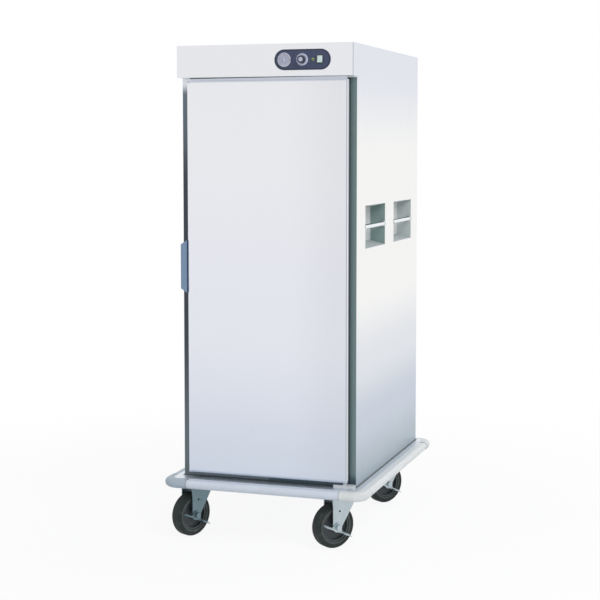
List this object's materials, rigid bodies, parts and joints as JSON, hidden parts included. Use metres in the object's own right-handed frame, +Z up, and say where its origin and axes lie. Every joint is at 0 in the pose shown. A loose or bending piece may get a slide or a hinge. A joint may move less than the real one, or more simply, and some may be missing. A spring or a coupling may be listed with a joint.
{
  "type": "food warmer cart",
  "caption": "Tall insulated stainless food warming cabinet on swivel casters, with a pivoted door, control header, recessed hand grips and a bumper rail.",
  "frame": {"origin": "on the floor under the middle of the bumper's outline", "axes": "+Z up, +X to the right as seen facing the door, the door facing -Y"},
  "size_m": [0.73, 0.972, 1.683],
  "materials": {
    "stainless": "satin",
    "stainless_inner": "satin",
    "deck_steel": "satin",
    "zinc": "satin",
    "bumper_grey": "satin",
    "wheel_black": "satin",
    "tyre_rubber": "matte",
    "insulation": "matte",
    "gasket": "matte",
    "control_blue": "satin",
    "dial_metal": "satin",
    "glass": "gloss",
    "needle_dark": "satin",
    "knob": "satin",
    "thermostat_body": "matte",
    "lamp": "gloss",
    "switch_black": "gloss",
    "rocker": "gloss",
    "motor": "satin",
    "heater": "matte",
    "inlet": "matte"
  },
  "bodies": {
    "cabinet": {"air_baffle": "stainless_inner", "back_panel": "stainless", "base_frame": "deck_steel", "bumper_corners": "bumper_grey", "bumper_rails": "bumper_grey", "caster_bolts": "zinc", "caster_plates": "zinc", "control_plate": "control_blue", "fan_motor": "motor", "front_frame": "stainless_inner", "handle_bars": "stainless", "handle_pockets": "stainless", "header_panel": "stainless", "heater_element": "heater", "hinge_brackets": "zinc", "indicator_lamp": "lamp", "insulation": "insulation", "liner_ceiling": "stainless_inner", "liner_floor": "stainless_inner", "liner_wrap": "stainless_inner", "power_inlet": "inlet", "rack_left": "stainless_inner", "rack_right": "stainless_inner", "side_panel_left": "stainless", "side_panel_right": "stainless", "switch_body": "switch_black", "thermometer_case": "dial_metal", "thermometer_lens": "glass", "thermostat": "thermostat_body", "top_panel": "stainless"},
    "door": {"door_bushes": "zinc", "door_core": "insulation", "door_gasket": "gasket", "door_handle": "stainless", "door_liner": "stainless_inner", "door_skin": "stainless"},
    "thermometer_needle": {"thermometer_needle": "needle_dark"},
    "thermostat_knob": {"thermostat_knob": "knob"},
    "switch_rocker": {"switch_rocker": "rocker"},
    "fan": {"fan_impeller": "stainless_inner"},
    "caster_front_left": {"fork_front_left": "zinc", "axle_front_left": "zinc"},
    "wheel_front_left": {"wheel_core_front_left": "wheel_black", "tyre_front_left": "tyre_rubber"},
    "brake_front_left": {"brake_lever_front_left": "zinc"},
    "caster_front_right": {"fork_front_right": "zinc", "axle_front_right": "zinc"},
    "wheel_front_right": {"wheel_core_front_right": "wheel_black", "tyre_front_right": "tyre_rubber"},
    "brake_front_right": {"brake_lever_front_right": "zinc"},
    "caster_rear_left": {"fork_rear_left": "zinc", "axle_rear_left": "zinc"},
    "wheel_rear_left": {"wheel_core_rear_left": "wheel_black", "tyre_rear_left": "tyre_rubber"},
    "brake_rear_left": {"brake_lever_rear_left": "zinc"},
    "caster_rear_right": {"fork_rear_right": "zinc", "axle_rear_right": "zinc"},
    "wheel_rear_right": {"wheel_core_rear_right": "wheel_black", "tyre_rear_right": "tyre_rubber"},
    "brake_rear_right": {"brake_lever_rear_right": "zinc"}
  },
  "joints": [
    {"name": "door_hinge", "type": "hinge", "parent": "cabinet", "child": "door", "pos_m": [0.275, -0.416, 0.892], "axis": [0, 0, 1], "range_deg": [0, 180]},
    {"name": "needle_turn", "type": "hinge", "parent": "cabinet", "child": "thermometer_needle", "pos_m": [0.074, -0.448, 1.6295], "axis": [0, 1, 0], "range_deg": [0, 240], "stiffness_Nm_per_rad": 0.0005},
    {"name": "knob_turn", "type": "hinge", "parent": "cabinet", "child": "thermostat_knob", "pos_m": [0.136, -0.448, 1.6295], "axis": [0, 1, 0], "range_deg": [0, 270]},
    {"name": "rocker_tip", "type": "hinge", "parent": "cabinet", "child": "switch_rocker", "pos_m": [0.197, -0.448, 1.6295], "axis": [1, 0, 0], "range_deg": [0, 16]},
    {"name": "fan_spin", "type": "hinge", "parent": "cabinet", "child": "fan", "pos_m": [0, 0.051, 1.534], "axis": [0, 0, 1], "continuous": true},
    {"name": "swivel_front_left", "type": "hinge", "parent": "cabinet", "child": "caster_front_left", "pos_m": [-0.261, -0.364, 0.19], "axis": [0, 0, 1], "continuous": true},
    {"name": "roll_front_left", "type": "hinge", "parent": "caster_front_left", "child": "wheel_front_left", "pos_m": [-0.28292, -0.40894, 0.075], "axis": [0.8988, -0.4384, 0], "continuous": true},
    {"name": "brake_front_left", "type": "hinge", "parent": "caster_front_left", "child": "brake_front_left", "pos_m": [-0.28292, -0.40894, 0.075], "axis": [0.8988, -0.4384, 0], "range_deg": [0, 48]},
    {"name": "swivel_front_right", "type": "hinge", "parent": "cabinet", "child": "caster_front_right", "pos_m": [0.261, -0.364, 0.19], "axis": [0, 0, 1], "continuous": true},
    {"name": "roll_front_right", "type": "hinge", "parent": "caster_front_right", "child": "wheel_front_right", "pos_m": [0.22953, -0.40286, 0.075], "axis": [0.7771, -0.6293, 0], "continuous": true},
    {"name": "brake_front_right", "type": "hinge", "parent": "caster_front_right", "child": "brake_front_right", "pos_m": [0.22953, -0.40286, 0.075], "axis": [0.7771, -0.6293, 0], "range_deg": [0, 48]},
    {"name": "swivel_rear_left", "type": "hinge", "parent": "cabinet", "child": "caster_rear_left", "pos_m": [-0.261, 0.293, 0.19], "axis": [0, 0, 1], "continuous": true},
    {"name": "roll_rear_left", "type": "hinge", "parent": "caster_rear_left", "child": "wheel_rear_left", "pos_m": [-0.28675, 0.25014, 0.075], "axis": [0.8572, -0.515, 0], "continuous": true},
    {"name": "brake_rear_left", "type": "hinge", "parent": "caster_rear_left", "child": "brake_rear_left", "pos_m": [-0.28675, 0.25014, 0.075], "axis": [0.8572, -0.515, 0], "range_deg": [0, 48]},
    {"name": "swivel_rear_right", "type": "hinge", "parent": "cabinet", "child": "caster_rear_right", "pos_m": [0.261, 0.293, 0.19], "axis": [0, 0, 1], "continuous": true},
    {"name": "roll_rear_right", "type": "hinge", "parent": "caster_rear_right", "child": "wheel_rear_right", "pos_m": [0.23091, 0.25307, 0.075], "axis": [0.7986, -0.6018, 0], "continuous": true},
    {"name": "brake_rear_right", "type": "hinge", "parent": "caster_rear_right", "child": "brake_rear_right", "pos_m": [0.23091, 0.25307, 0.075], "axis": [0.7986, -0.6018, 0], "range_deg": [0, 48]}
  ]
}
